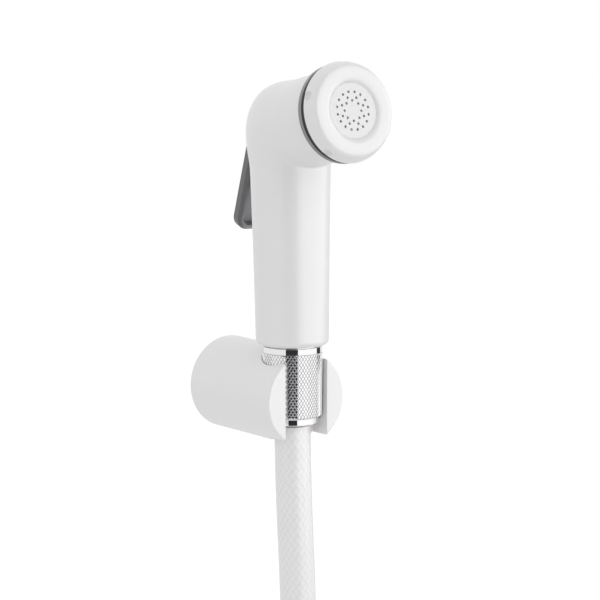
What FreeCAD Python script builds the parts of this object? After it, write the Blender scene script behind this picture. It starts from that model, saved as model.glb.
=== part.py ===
import FreeCAD, Part
import math
import os

# Handheld bidet shower resting in its wall holder. Millimetres, +Z up. The wall is the plane y = 0,
# the holder reaches along -Y, and the origin is the centre of the holder's back face.

V = FreeCAD.Vector
X = V(1, 0, 0)
Y = V(0, 1, 0)
Z = V(0, 0, 1)

# Clearances
RUN = 0.05           # radial gap of a turning or sliding fit
LOOSE = 0.3          # gap between pieces that only stand near each other

# Wall holder
HOLDER_LENGTH = 54.75
HOLDER_BACK_R = 19.45
HOLDER_TAPER = 1.0        # how much smaller its radius is in front
HOLDER_EDGE_ROUND = 0.8
HOLDER_WALL = 2.6
HOLDER_RECESS = 12.0
SOCKET_DISTANCE = 45.3    # from the wall to the socket's axis
SLOT_WIDTH = 20.5
SEAT_BORE_R = 9.2
SOCKET_CLEARANCE = 0.25

# Wall bracket and its locking screw
FLANGE_THICKNESS = 3.0
BOSS_R = 9.0
BOSS_LENGTH = 31.2
WALL_SCREW_R = 2.3
WALL_SCREW_HEAD_R = 4.4
WALL_SCREW_HEAD_DEPTH = 9.0
GRUB_DISTANCE = 28.7
GRUB_R = 1.6
GRUB_HEAD_R = 2.4
GRUB_HEAD_HEIGHT = 2.0
GRUB_HEAD_PROUD = 0.35
GRUB_BITE = 1.0
GRUB_KEY_ACROSS = 2.0
GRUB_KEY_DEPTH = 1.5

# Conical nut
NUT_BOTTOM_Z = -10.1
NUT_TOP_Z = 20.9
NUT_TOP_RIM_R = 12.0
NUT_TOP_RIM_HEIGHT = 2.65
NUT_GRIP_TOP_R = 12.1     # over the grip's crests
NUT_GRIP_END_R = 11.8
NUT_GRIP_DEPTH = 0.25     # from the crests down to the plain root surface
NUT_FOOT_R = 10.4
NUT_FOOT_HEIGHT = 2.5
NUT_ROUND = 1.4
NUT_SHOULDER_Z = 5.0
NUT_NECK_R = 8.0

# Threaded inlet, tail and washer. THREAD_R is the outer radius of a half-inch pipe thread.
THREAD_R = 10.45
INLET_BORE_R = 4.5
INLET_END_Z = 9.0
INSERT_COLLAR_R = 12.2
INSERT_COLLAR_LENGTH = 4.0
INSERT_SHANK_R = 8.0
INSERT_TOP_Z = 34.0
WASHER_THICKNESS = 2.0
WASHER_R = 9.2
TAIL_FLANGE_R = 9.6
TAIL_STEM_LENGTH = 16.0
TAIL_WALL = 1.3

# Hose
HOSE_R = 7.3
HOSE_WALL = 2.6
HOSE_LENGTH = 1250.0
HOSE_TOP_Z = 1.0
HOSE_ROUTE = ((0.0, HOSE_TOP_Z), (0.0, -22.0), (1.0, -48.0), (2.7, -80.0), (3.0, -108.0),
              (11.5, -133.6), (27.6, -155.3), (49.7, -170.8))
JOIN_ANGLE = 55.0         # where the hose meets its coil, up from the coil's right-hand side
COIL_R = 73.2
COIL_TURNS = 2
COIL_PITCH = 14.9
HOSE_END_ROUTE = ((0.0, 0.0, 0.0), (0.4, -1.1, -34.0), (1.9, -1.5, -70.0))

# Tie round the coil's strands
TIE_ANGLE = 28.0
TIE_WIDTH = 16.0
TIE_THICKNESS = 1.2

# Far end: sleeve, flanged tail, union nut and washer
FERRULE_R = 8.3
FERRULE_LENGTH = 13.0
FERRULE_LIP = 1.6
END_COLLAR_LENGTH = 8.0
END_NUT_ACROSS = 24.0
END_NUT_START = 3.2
END_NUT_SHOULDER = 7.9
END_NUT_LENGTH = 15.0

# Handle: its axis leans back slightly on the way up
HANDLE_BOTTOM_Z = 21.3
HANDLE_LOW_R = 14.55
HANDLE_MIDDLE_R = 15.1
HANDLE_TOP_R = 15.9
HANDLE_LEAN = 1.13        # in degrees
HANDLE_EDGE_ROUND = 2.2
HANDSET_TURN = -2.7       # the handset's turn in its socket, in degrees

# Elbow and neck. The neck rises from the handle's axis to the spray head.
HEAD_REACH = 40.55
HEAD_Z = 113.14
HEAD_RISE = 8.55
NECK_R = 17.15
ELBOW_INNER_ROUND = 1.0
ELBOW_BULGE = 8.1         # how far the elbow's corner stands out beyond a plain bend
ELBOW_SECTIONS = 7

# Spray head, measured along its axis backwards from the plate's front face
CAP_R = 19.0
CAP_BACK = 4.6
CAP_FRONT = -1.25
CAP_LIP_R = 10.45
CAP_LIP = 1.2
CAP_THREAD_R = 15.9
CAP_THREAD_DEPTH = 2.6
CAP_NOTCH_COUNT = 5
CAP_NOTCH_R = 1.9
CAP_NOTCH_OUTSET = 0.4    # how far each notch's centre lies outside the cap's side
CAP_NOTCH_FIRST = 18.0
CAP_NOTCH_BACK = 2.7
GASKET_THICKNESS = 1.0
GASKET_R = 18.85
TRIM_WIDTH = 3.1
TRIM_R = 18.65
SPIGOT_FRONT = 3.1
CHAMBER_R = 12.6
CHAMBER_DEPTH = 14.0
PLATE_FLANGE_R = 13.2
SPRAY_HOLE_R = 0.52
SPRAY_RINGS = ((3.76, 8, 90.0), (5.16, 8, 67.5), (7.1, 16, 78.75))
DIFFUSER_THICKNESS = 1.6
DIFFUSER_BOSS_R = 2.0
DIFFUSER_HOLE_COUNT = 8
DIFFUSER_HOLE_R = 1.5
DIFFUSER_RING_R = 8.0

# Trigger lever, in the handset's middle plane: y from the nut's axis, z up
LEVER_WIDTH = 16.0
LEVER_TOP = (19.1, 106.5)     # upper end of its back face
LEVER_LOW = (33.4, 66.5)      # lower end of its back face
LEVER_THICKNESS = 4.85
LEVER_EDGE = 0.4
LEVER_BEVEL = 1.27
LEVER_RIM = 0.95
LEVER_WEB = 1.4
LEVER_CORNER = 5.2
LEVER_DRAFT = 0.4
LEVER_TAPER = ((19.3, 91.5), (18.0, 106.5))   # its front there keeps clear of the handle
LEVER_ARM_WIDTH = 11.8
LEVER_EYE_R = 3.2
LEVER_ARM = ((11.6, 101.1), (14.4, 106.6), (20.6, 101.4), (22.7, 95.4), (19.7, 95.4), (15.4, 98.9))
HINGE_Y = 13.8
HINGE_Z = 103.5
PIN_R = 1.25
PIN_LENGTH = 21.0
POCKET_SIDE_GAP = 0.3
POCKET_DEPTH_Y = 9.2
POCKET_BOTTOM_Z = 93.6
POCKET_TOP_Z = 107.2
RELIEF_DEPTH_Y = 17.0       # the wider, shallow pocket that the lever's upper end lies in

# Water valve, whose axis runs level through the handle behind the lever
VALVE_Z = 84.0
VALVE_BORE_R = 4.5
VALVE_BORE_END = -11.0
GLAND_R = 5.8
GLAND_FACE = 14.6
GLAND_LENGTH = 5.0
GLAND_HEX_ACROSS = 8.0
GLAND_HEX_DEPTH = 1.6
STEM_R = 1.6
STEM_GAP = 0.75
STEM_TIP_ROUND = 0.6
STEM_HEAD_R = 3.2
STEM_HEAD_LENGTH = 1.5
SEAT_BACK = 1.5
SEAT_LENGTH = 2.2
SEAT_HOLE_R = 2.5
DISC_THICKNESS = 0.9
SEAL_LENGTH = 2.0
SPRING_WIRE_R = 0.35
SPRING_R = 2.6
SPRING_TURNS = 4
RISER_R = 2.9
RISER_Y = 4.5
RISER_CORNER_Y = 2.5
INLET_RISER_R = 3.2
INLET_RISER_Y = -4.0

# Derived sizes and places
HOLDER_FRONT_R = HOLDER_BACK_R - HOLDER_TAPER
SOCKET = V(0, -SOCKET_DISTANCE, 0)
RISE = math.radians(HEAD_RISE)
HEAD_FRONT = V(0, -math.cos(RISE), math.sin(RISE))
HEAD_UP = V(0, math.sin(RISE), math.cos(RISE))
HEAD = SOCKET + V(0, -HEAD_REACH, HEAD_Z)
GASKET_BACK = CAP_BACK + GASKET_THICKNESS
NECK_END = GASKET_BACK + TRIM_WIDTH
SPIGOT_R = CAP_THREAD_R - RUN
LEAN = math.radians(HANDLE_LEAN)
HANDLE_UP = V(0, math.sin(LEAN), math.cos(LEAN))
HANDLE_BACK = V(0, math.cos(LEAN), -math.sin(LEAN))
HANDLE_FOOT = SOCKET + V(0, 0, HANDLE_BOTTOM_Z)
VALVE = SOCKET + V(0, 0, VALVE_Z)
HINGE = SOCKET + V(0, HINGE_Y, HINGE_Z)


def rod(start, axis, radius, length):
    return Part.makeCylinder(radius, length, start, axis)


def tube(start, axis, outer, inner, length):
    return rod(start, axis, outer, length).cut(rod(start, axis, inner, length))


def box_between(low, high):
    size = high - low
    return Part.makeBox(size.x, size.y, size.z, low)


def face_of(points):
    """Flat face through a closed list of corner points."""
    return Part.Face(Part.makePolygon(list(points) + [points[0]]))


def turned(profile, centre, axis, across):
    """Solid turned about the axis. The profile lists (distance along the axis, radius)."""
    points = [centre + axis * along + across * radius for along, radius in profile]
    return face_of(points).revolve(centre, axis, 360)


def hexagon(centre, axis, across, width, length):
    """Hexagonal prism, measured across its flats."""
    side = axis.cross(across)
    corner = width / math.sqrt(3)
    points = []
    for k in range(6):
        angle = math.radians(60 * k)
        points.append(centre + across * (corner * math.cos(angle)) + side * (corner * math.sin(angle)))
    return face_of(points).extrude(axis * length)


def handset(shape):
    """Turns a piece of the handset about the socket's axis to the way it hangs."""
    placed = shape.copy()
    placed.rotate(SOCKET, Z, HANDSET_TURN)
    return placed


def on_head(back, right=0.0, up=0.0):
    """Point of the spray head: how far behind the plate's face, to the right and up."""
    return HEAD - HEAD_FRONT * back + X * right + HEAD_UP * up


# Wall bracket: flange against the wall, boss that carries the holder, hole for the wall screw
def wall_bracket():
    flange_r = HOLDER_BACK_R - HOLDER_WALL - LOOSE
    flange = rod(V(0, 0, 0), -Y, flange_r, FLANGE_THICKNESS)
    boss = rod(V(0, 0, 0), -Y, BOSS_R, BOSS_LENGTH)
    bracket = flange.fuse(boss)
    bracket = bracket.cut(rod(V(0, 0, 0), -Y, WALL_SCREW_R, BOSS_LENGTH))
    head_start = V(0, -FLANGE_THICKNESS - WALL_SCREW_HEAD_DEPTH, 0)
    bracket = bracket.cut(rod(head_start, -Y, WALL_SCREW_HEAD_R, BOSS_LENGTH))
    bite = V(0, -GRUB_DISTANCE, -BOSS_R + GRUB_BITE)
    return bracket.cut(rod(bite, -Z, GRUB_R + RUN, GRUB_BITE + 1)).removeSplitter()


def holder_radius(distance):
    """Outer radius of the holder at a distance from the wall."""
    return HOLDER_BACK_R + (HOLDER_FRONT_R - HOLDER_BACK_R) * distance / HOLDER_LENGTH


# Holder: a slightly tapering round body, hollow at the back, with a socket open to the front
def holder_body():
    outer = turned(((0, 0), (0, HOLDER_BACK_R), (HOLDER_LENGTH, HOLDER_FRONT_R), (HOLDER_LENGTH, 0)),
                   V(0, 0, 0), -Y, X)
    front_edge = [edge for edge in outer.Edges if abs(edge.CenterOfMass.y + HOLDER_LENGTH) < 0.01
                  and len(edge.Vertexes) == 1]
    body = outer.makeFillet(HOLDER_EDGE_ROUND, front_edge)
    recess = rod(V(0, 0, 0), -Y, HOLDER_BACK_R - HOLDER_WALL, HOLDER_RECESS)
    boss_hole = rod(V(0, 0, 0), -Y, BOSS_R + RUN, BOSS_LENGTH + LOOSE)
    body = body.cut(recess).cut(boss_hole)

    top = HOLDER_BACK_R + 1
    bore_top_r = NUT_GRIP_TOP_R + SOCKET_CLEARANCE
    bore_low_r = NUT_GRIP_END_R + SOCKET_CLEARANCE
    cone_z = NUT_BOTTOM_Z + NUT_FOOT_HEIGHT
    socket = turned(((-top, 0), (-top, SEAT_BORE_R), (NUT_BOTTOM_Z, SEAT_BORE_R),
                     (NUT_BOTTOM_Z, NUT_FOOT_R + SOCKET_CLEARANCE), (cone_z, bore_low_r),
                     (NUT_TOP_Z - NUT_TOP_RIM_HEIGHT, bore_top_r), (top, bore_top_r), (top, 0)),
                    SOCKET, Z, X)
    half = SLOT_WIDTH / 2
    slot = box_between(V(-half, -HOLDER_LENGTH - 1, -top), V(half, -SOCKET_DISTANCE, top))
    body = body.cut(socket).cut(slot)

    screw_axis = V(0, -GRUB_DISTANCE, 0)
    head_top = -holder_radius(GRUB_DISTANCE) - GRUB_HEAD_PROUD + GRUB_HEAD_HEIGHT
    body = body.cut(rod(screw_axis, -Z, GRUB_R + RUN, HOLDER_BACK_R))
    return body.cut(rod(screw_axis + Z * head_top, -Z, GRUB_HEAD_R + RUN, HOLDER_BACK_R))


# Locking screw: a round head with a hexagon socket, its point in the bracket's dimple
def grub_screw():
    head_low = -holder_radius(GRUB_DISTANCE) - GRUB_HEAD_PROUD
    foot = V(0, -GRUB_DISTANCE, head_low)
    head = rod(foot, Z, GRUB_HEAD_R, GRUB_HEAD_HEIGHT)
    shank = rod(foot, Z, GRUB_R, -BOSS_R + GRUB_BITE - head_low)
    key = hexagon(foot, Z, X, GRUB_KEY_ACROSS, GRUB_KEY_DEPTH)
    return head.fuse(shank).cut(key).removeSplitter()


# Conical nut: plain rims above and below a long grip, thread inside, shoulder under the tail
def conical_nut():
    grip_top = NUT_TOP_Z - NUT_TOP_RIM_HEIGHT
    grip_end = NUT_BOTTOM_Z + NUT_FOOT_HEIGHT
    foot = NUT_ROUND / 2
    root_end_r = NUT_GRIP_END_R - NUT_GRIP_DEPTH
    profile = ((NUT_BOTTOM_Z, NUT_NECK_R), (NUT_BOTTOM_Z, NUT_FOOT_R - 0.3),
               (NUT_BOTTOM_Z + 0.3, NUT_FOOT_R), (grip_end, NUT_FOOT_R), (grip_end, NUT_FOOT_R + 0.1),
               (grip_end + foot * 0.6, root_end_r - 0.3), (grip_end + NUT_ROUND, root_end_r),
               (grip_top, NUT_GRIP_TOP_R - NUT_GRIP_DEPTH), (grip_top, NUT_TOP_RIM_R - 0.15),
               (grip_top + 0.15, NUT_TOP_RIM_R), (NUT_TOP_Z - 0.25, NUT_TOP_RIM_R),
               (NUT_TOP_Z, NUT_TOP_RIM_R - 0.25), (NUT_TOP_Z, THREAD_R + RUN),
               (NUT_SHOULDER_Z, THREAD_R + RUN), (NUT_SHOULDER_Z, NUT_NECK_R))
    return turned(profile, SOCKET, Z, X)


# Flanged tail of the hose: the flange turns above the nut's shoulder, the stem sits in the hose
def hose_tail():
    stem_r = HOSE_R - HOSE_WALL - RUN
    flange_top = NUT_SHOULDER_Z + tail_flange()
    bore = stem_r - TAIL_WALL
    profile = ((HOSE_TOP_Z - TAIL_STEM_LENGTH, bore), (HOSE_TOP_Z - TAIL_STEM_LENGTH, stem_r - 0.5),
               (HOSE_TOP_Z - TAIL_STEM_LENGTH + 1, stem_r), (HOSE_TOP_Z, stem_r),
               (HOSE_TOP_Z, NUT_NECK_R - RUN), (NUT_SHOULDER_Z, NUT_NECK_R - RUN),
               (NUT_SHOULDER_Z, TAIL_FLANGE_R), (flange_top, TAIL_FLANGE_R), (flange_top, bore))
    return turned(profile, SOCKET, Z, X)


def tail_flange():
    """Thickness of the tail's flange, which fills the gap between washer and shoulder."""
    return INLET_END_Z - WASHER_THICKNESS - NUT_SHOULDER_Z


def inlet_washer():
    start = SOCKET + Z * (INLET_END_Z - WASHER_THICKNESS)
    return tube(start, Z, WASHER_R, INLET_BORE_R, WASHER_THICKNESS)


# Threaded inlet: thread below, collar against the handle's end, shank held in the handle
def inlet_insert():
    collar_z = HANDLE_BOTTOM_Z + INSERT_COLLAR_LENGTH
    profile = ((INLET_END_Z, INLET_BORE_R), (INLET_END_Z, THREAD_R - 0.6), (INLET_END_Z + 0.6, THREAD_R),
               (HANDLE_BOTTOM_Z, THREAD_R), (HANDLE_BOTTOM_Z, INSERT_COLLAR_R),
               (collar_z, INSERT_COLLAR_R), (collar_z, INSERT_SHANK_R),
               (INSERT_TOP_Z, INSERT_SHANK_R), (INSERT_TOP_Z, INLET_BORE_R))
    return turned(profile, SOCKET, Z, X)


def half_oval(centre, across, side, half_across, half_side):
    """Half of an ellipse, from one end of its first axis round to the other."""
    a = across * half_across
    b = side * half_side
    poles = [centre + a, centre + a + b, centre + b, centre - a + b, centre - a]
    corner = math.sqrt(0.5)
    curve = Part.BSplineCurve()
    curve.buildFromPolesMultsKnots(poles, [3, 2, 3], [0, 1, 2], False, 2, [1, corner, 1, corner, 1])
    return curve.toShape()


def elbow_start():
    """Length of the handle's straight part, so that the elbow's inner corner meets the neck."""
    corner = HANDLE_FOOT - HANDLE_BACK * (HANDLE_TOP_R + ELBOW_INNER_ROUND)
    short = -(NECK_R + ELBOW_INNER_ROUND) - (corner - HEAD).dot(HEAD_UP)
    return short / HANDLE_UP.dot(HEAD_UP)


# The handle's straight part: turned about its leaning axis, level at the foot, edge rounded
def handle_shaft():
    length = elbow_start()
    low = HANDLE_FOOT - HANDLE_UP
    out = HANDLE_BACK
    side = Part.Arc(low + out * HANDLE_LOW_R, HANDLE_FOOT + HANDLE_UP * (length / 2) + out * HANDLE_MIDDLE_R,
                    HANDLE_FOOT + HANDLE_UP * length + out * HANDLE_TOP_R).toShape()
    top = HANDLE_FOOT + HANDLE_UP * length
    edges = [Part.makeLine(low, low + out * HANDLE_LOW_R), side,
             Part.makeLine(top + out * HANDLE_TOP_R, top), Part.makeLine(top, low)]
    shaft = Part.Face(Part.Wire(edges)).revolve(low, HANDLE_UP, 360)
    reach = 2 * HANDLE_TOP_R
    shaft = shaft.cut(box_between(HANDLE_FOOT - V(reach, reach, 5), HANDLE_FOOT + V(reach, reach, 0)))
    foot_edges = [edge for edge in shaft.Edges if edge.BoundBox.ZMax < HANDLE_BOTTOM_Z + 0.01]
    return shaft.makeFillet(HANDLE_EDGE_ROUND, foot_edges)


def elbow_sections():
    """Oval sections that fan round the elbow's inner corner, from the handle's top to the neck."""
    pivot = HANDLE_FOOT + HANDLE_UP * elbow_start() - HANDLE_BACK * (HANDLE_TOP_R + ELBOW_INNER_ROUND)
    fan = HANDLE_BACK.getAngle(HEAD_UP)
    growth = NECK_R - HANDLE_TOP_R
    sections = []
    for k in range(ELBOW_SECTIONS + 1):
        part_way = k / ELBOW_SECTIONS
        angle = fan * part_way - LEAN
        out = V(0, math.cos(angle), math.sin(angle))
        bulge = ELBOW_BULGE * math.sin(math.pi * part_way) ** 2
        half_depth = HANDLE_TOP_R + growth * part_way + bulge / 2
        half_width = NECK_R - growth * (1 - part_way) ** 2
        sections.append((pivot + out * (ELBOW_INNER_ROUND + half_depth), out, half_depth, half_width))
    return sections


# The elbow is lofted as two halves that meet in the handset's middle plane
def handle_elbow():
    sections = elbow_sections()
    faces = []
    for side in (X, -X):
        wires = [Part.Wire(half_oval(centre, out, side, depth, width))
                 for centre, out, depth, width in sections]
        faces += Part.makeLoft(wires, False, False, False, 3).Faces
    for centre, out, depth, width in (sections[0], sections[-1]):
        halves = [half_oval(centre, out, side, depth, width) for side in (X, -X)]
        faces.append(Part.Face(Part.Wire(halves)))
    shell = Part.Shell(faces)
    shell.sewShape()
    return Part.Solid(shell)


def handle_body():
    neck_start = elbow_sections()[-1][0]
    neck_length = (HEAD - neck_start).dot(HEAD_FRONT) - NECK_END
    neck = rod(neck_start, HEAD_FRONT, NECK_R, neck_length)
    spigot = rod(on_head(NECK_END), HEAD_FRONT, SPIGOT_R, NECK_END - SPIGOT_FRONT)
    body = handle_shaft().fuse([handle_elbow(), neck, spigot])
    body = body.cut(rod(on_head(CHAMBER_DEPTH), HEAD_FRONT, CHAMBER_R, CHAMBER_DEPTH))

    body = body.cut(rod(HANDLE_FOOT, Z, INSERT_COLLAR_R, INSERT_COLLAR_LENGTH))
    body = body.cut(rod(HANDLE_FOOT, Z, INSERT_SHANK_R, INSERT_TOP_Z - HANDLE_BOTTOM_Z))
    inlet_start = SOCKET + V(0, INLET_RISER_Y, INSERT_TOP_Z - 1)
    body = body.cut(rod(inlet_start, Z, INLET_RISER_R, VALVE_Z - INSERT_TOP_Z + 1))

    bore = rod(VALVE + Y * VALVE_BORE_END, Y, VALVE_BORE_R, GLAND_FACE - VALVE_BORE_END)
    gland = rod(VALVE + Y * (GLAND_FACE - GLAND_LENGTH), Y, GLAND_R, GLAND_LENGTH + 6)
    body = body.cut(bore).cut(gland)
    riser_start = VALVE + Y * RISER_Y
    riser_end = on_head(CHAMBER_DEPTH - 1)
    corner = SOCKET + V(0, RISER_CORNER_Y, HINGE_Z)
    body = body.cut(rod(riser_start, corner - riser_start, RISER_R, (corner - riser_start).Length))
    body = body.cut(Part.makeSphere(RISER_R, corner))
    body = body.cut(rod(corner, riser_end - corner, RISER_R, (riser_end - corner).Length))

    outside = 2 * HANDLE_TOP_R
    half = LEVER_ARM_WIDTH / 2 + POCKET_SIDE_GAP
    pocket = box_between(SOCKET + V(-half, POCKET_DEPTH_Y, POCKET_BOTTOM_Z),
                         SOCKET + V(half, outside, POCKET_TOP_Z))
    half = LEVER_WIDTH / 2 + POCKET_SIDE_GAP
    relief = box_between(SOCKET + V(-half, RELIEF_DEPTH_Y, POCKET_BOTTOM_Z),
                         SOCKET + V(half, outside, POCKET_TOP_Z))
    body = body.cut(pocket).cut(relief)
    pin_hole = rod(HINGE - X * (PIN_LENGTH / 2), X, PIN_R, PIN_LENGTH)
    return handset(body.cut(pin_hole))


# Trigger lever: a hollow moulded tongue with rounded lower corners and an arm to its hinge
def trigger_lever():
    outer = [lever_outline(LEVER_EDGE, 0), lever_outline(0, LEVER_EDGE),
             lever_outline(0, LEVER_THICKNESS - LEVER_BEVEL), lever_outline(LEVER_BEVEL, LEVER_THICKNESS)]
    rim = LEVER_BEVEL + LEVER_RIM
    hollow = [lever_outline(rim + LEVER_DRAFT, LEVER_WEB), lever_outline(rim, LEVER_THICKNESS)]
    lever = Part.makeLoft(outer, True, True).cut(Part.makeLoft(hollow, True, True))
    low, high = LEVER_TAPER
    front = face_of((V(-LEVER_WIDTH, low[0], low[1]), V(-LEVER_WIDTH, high[0], high[1] + 1),
                     V(-LEVER_WIDTH, 0, high[1] + 1), V(-LEVER_WIDTH, 0, low[1])))
    lever = lever.cut(front.extrude(X * (2 * LEVER_WIDTH)))

    arm_half = LEVER_ARM_WIDTH / 2
    eye = rod(V(-arm_half, HINGE_Y, HINGE_Z), X, LEVER_EYE_R, LEVER_ARM_WIDTH)
    arm = face_of([V(-arm_half, back, height) for back, height in LEVER_ARM])
    lever = lever.fuse(arm.extrude(X * LEVER_ARM_WIDTH)).fuse(eye)
    lever = lever.cut(rod(V(-arm_half, HINGE_Y, HINGE_Z), X, PIN_R + RUN, LEVER_ARM_WIDTH))
    lever.translate(SOCKET)
    return handset(lever.removeSplitter())


def lever_back(height):
    """How far behind the nut's axis the lever's back face lies at a height."""
    part_way = (height - LEVER_LOW[1]) / (LEVER_TOP[1] - LEVER_LOW[1])
    return LEVER_LOW[0] + (LEVER_TOP[0] - LEVER_LOW[0]) * part_way


def on_lever(right, along, depth):
    """Point of the lever: to the right, up along its back face and in from that face."""
    low = V(0, LEVER_LOW[0], LEVER_LOW[1])
    upward = (V(0, LEVER_TOP[0], LEVER_TOP[1]) - low).normalize()
    return low + X * right + upward * along + X.cross(upward) * depth


def lever_outline(inset, depth):
    """The lever's outline drawn in by an inset, at a depth: straight sides and rounded lower corners."""
    half = LEVER_WIDTH / 2 - inset
    corner = LEVER_CORNER - inset
    top = math.hypot(LEVER_TOP[0] - LEVER_LOW[0], LEVER_TOP[1] - LEVER_LOW[1]) - inset
    bend = corner * (1 - math.sqrt(0.5))
    sides = []
    for sign in (-1, 1):
        side = on_lever(sign * half, inset + corner, depth)
        middle = on_lever(sign * (half - bend), inset + bend, depth)
        end = on_lever(sign * (half - corner), inset, depth)
        sides.append((on_lever(sign * half, top, depth), side, middle, end))
    left, right = sides
    return Part.Wire([Part.makeLine(left[0], left[1]), Part.Arc(left[1], left[2], left[3]).toShape(),
                      Part.makeLine(left[3], right[3]), Part.Arc(right[3], right[2], right[1]).toShape(),
                      Part.makeLine(right[1], right[0]), Part.makeLine(right[0], left[0])])


def lever_pin():
    return handset(rod(HINGE - X * (PIN_LENGTH / 2), X, PIN_R, PIN_LENGTH))


# Valve: gland nut, stem seal, seat, stem with its rubber disc, and the spring that shuts it
def gland_nut():
    start = VALVE + Y * (GLAND_FACE - GLAND_LENGTH)
    nut = tube(start, Y, GLAND_R, STEM_R + RUN, GLAND_LENGTH)
    key = hexagon(start + Y * (GLAND_LENGTH - GLAND_HEX_DEPTH), Y, X, GLAND_HEX_ACROSS, GLAND_HEX_DEPTH)
    return handset(nut.cut(key))


def stem_seal():
    start = VALVE + Y * (GLAND_FACE - GLAND_LENGTH - SEAL_LENGTH)
    return handset(tube(start, Y, VALVE_BORE_R, STEM_R + RUN, SEAL_LENGTH))


def valve_seat():
    start = VALVE + Y * (SEAT_BACK - SEAT_LENGTH)
    return handset(tube(start, Y, VALVE_BORE_R, SEAT_HOLE_R, SEAT_LENGTH))


def valve_disc():
    start = VALVE + Y * (SEAT_BACK - SEAT_LENGTH - DISC_THICKNESS)
    return handset(tube(start, Y, STEM_HEAD_R + 0.2, STEM_R, DISC_THICKNESS))


def valve_stem():
    head_front = SEAT_BACK - SEAT_LENGTH - DISC_THICKNESS
    slant = (LEVER_LOW[0] - LEVER_TOP[0]) / (LEVER_TOP[1] - LEVER_LOW[1])
    tip = lever_back(VALVE_Z) - LEVER_WEB * math.hypot(1, slant) - STEM_GAP
    profile = ((head_front - STEM_HEAD_LENGTH, 0), (head_front - STEM_HEAD_LENGTH, STEM_HEAD_R),
               (head_front, STEM_HEAD_R), (head_front, STEM_R), (tip - STEM_TIP_ROUND, STEM_R),
               (tip, STEM_R - STEM_TIP_ROUND), (tip, 0))
    return handset(turned(profile, VALVE, Y, X))


def valve_spring():
    start = VALVE_BORE_END + SPRING_WIRE_R
    end = SEAT_BACK - SEAT_LENGTH - DISC_THICKNESS - STEM_HEAD_LENGTH - SPRING_WIRE_R
    length = end - start
    pitch = length / SPRING_TURNS
    helix = Part.makeHelix(pitch, length, SPRING_R)
    wire_heading = V(0, 2 * math.pi * SPRING_R, pitch)
    section = Part.Wire(Part.makeCircle(SPRING_WIRE_R, V(SPRING_R, 0, 0), wire_heading))
    spring = Part.Wire(helix).makePipeShell([section], True, True)
    spring.rotate(V(0, 0, 0), X, -90)
    spring.translate(VALVE + Y * start)
    return handset(spring)


# Spray head: trim ring, gasket, cap, plate and diffuser, all turned about the head's axis
def head_turned(profile):
    return turned(profile, HEAD, -HEAD_FRONT, HEAD_UP)


def head_line(corners):
    """Straight edges through (distance behind the plate's face, radius) corners of the head's section."""
    points = [on_head(back, 0, radius) for back, radius in corners]
    return [Part.makeLine(first, second) for first, second in zip(points, points[1:])]


def head_arc(start, middle, end):
    return Part.Arc(on_head(start[0], 0, start[1]), on_head(middle[0], 0, middle[1]),
                    on_head(end[0], 0, end[1])).toShape()


def trim_ring():
    chamfer = 0.25
    return handset(head_turned(((GASKET_BACK, SPIGOT_R + RUN), (GASKET_BACK, TRIM_R - chamfer),
                                (GASKET_BACK + chamfer, TRIM_R), (NECK_END - chamfer, TRIM_R),
                                (NECK_END, TRIM_R - chamfer), (NECK_END, SPIGOT_R + RUN))))


def cap_gasket():
    return handset(head_turned(((CAP_BACK, SPIGOT_R + RUN), (CAP_BACK, GASKET_R),
                                (GASKET_BACK, GASKET_R), (GASKET_BACK, SPIGOT_R + RUN))))


# Cap: a side that curves in to a soft corner, a face dished down to the plate, thumb notches round it
def spray_cap():
    width = CAP_R - CAP_LIP_R
    side = (CAP_BACK - 0.3, CAP_R)
    corner = (CAP_FRONT + 0.95, CAP_R - 0.18 * width)
    rim = (CAP_FRONT + 0.15, CAP_R - 0.35 * width)
    dish = (CAP_FRONT, CAP_R - 0.65 * width)
    seat_r = PLATE_FLANGE_R + RUN
    edges = head_line(((CAP_BACK, CAP_THREAD_R), (CAP_BACK, CAP_R - 0.3), side))
    edges.append(head_arc(side, (CAP_FRONT + 2.95, CAP_R - 0.07 * width), corner))
    edges.append(head_arc(corner, (CAP_FRONT + 0.42, CAP_R - 0.26 * width), rim))
    edges.append(head_arc(rim, (CAP_FRONT - 0.05, CAP_R - 0.5 * width), dish))
    edges.append(head_arc(dish, (CAP_FRONT + 0.32, CAP_R - 0.84 * width), (0, CAP_LIP_R)))
    edges += head_line(((0, CAP_LIP_R), (CAP_LIP, CAP_LIP_R), (CAP_LIP, seat_r), (CAP_THREAD_DEPTH, seat_r),
                        (CAP_THREAD_DEPTH, CAP_THREAD_R), (CAP_BACK, CAP_THREAD_R)))
    cap = Part.Face(Part.Wire(edges)).revolve(HEAD, HEAD_FRONT, 360)
    centre_r = CAP_R + CAP_NOTCH_OUTSET
    for k in range(CAP_NOTCH_COUNT):
        angle = math.radians(CAP_NOTCH_FIRST + 360 * k / CAP_NOTCH_COUNT)
        centre = on_head(CAP_NOTCH_BACK, centre_r * math.cos(angle), centre_r * math.sin(angle))
        cap = cap.cut(Part.makeSphere(CAP_NOTCH_R, centre))
    return handset(cap)


def spray_plate():
    plate = rod(on_head(0), -HEAD_FRONT, CAP_LIP_R - RUN, CAP_LIP)
    flange = rod(on_head(CAP_LIP), -HEAD_FRONT, PLATE_FLANGE_R, CAP_THREAD_DEPTH - CAP_LIP)
    plate = plate.fuse(flange)
    for radius, count, first in SPRAY_RINGS:
        for k in range(count):
            angle = math.radians(first + 360 * k / count)
            start = on_head(-1, radius * math.cos(angle), radius * math.sin(angle))
            plate = plate.cut(rod(start, -HEAD_FRONT, SPRAY_HOLE_R, CAP_THREAD_DEPTH + 2))
    return handset(plate.removeSplitter())


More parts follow.
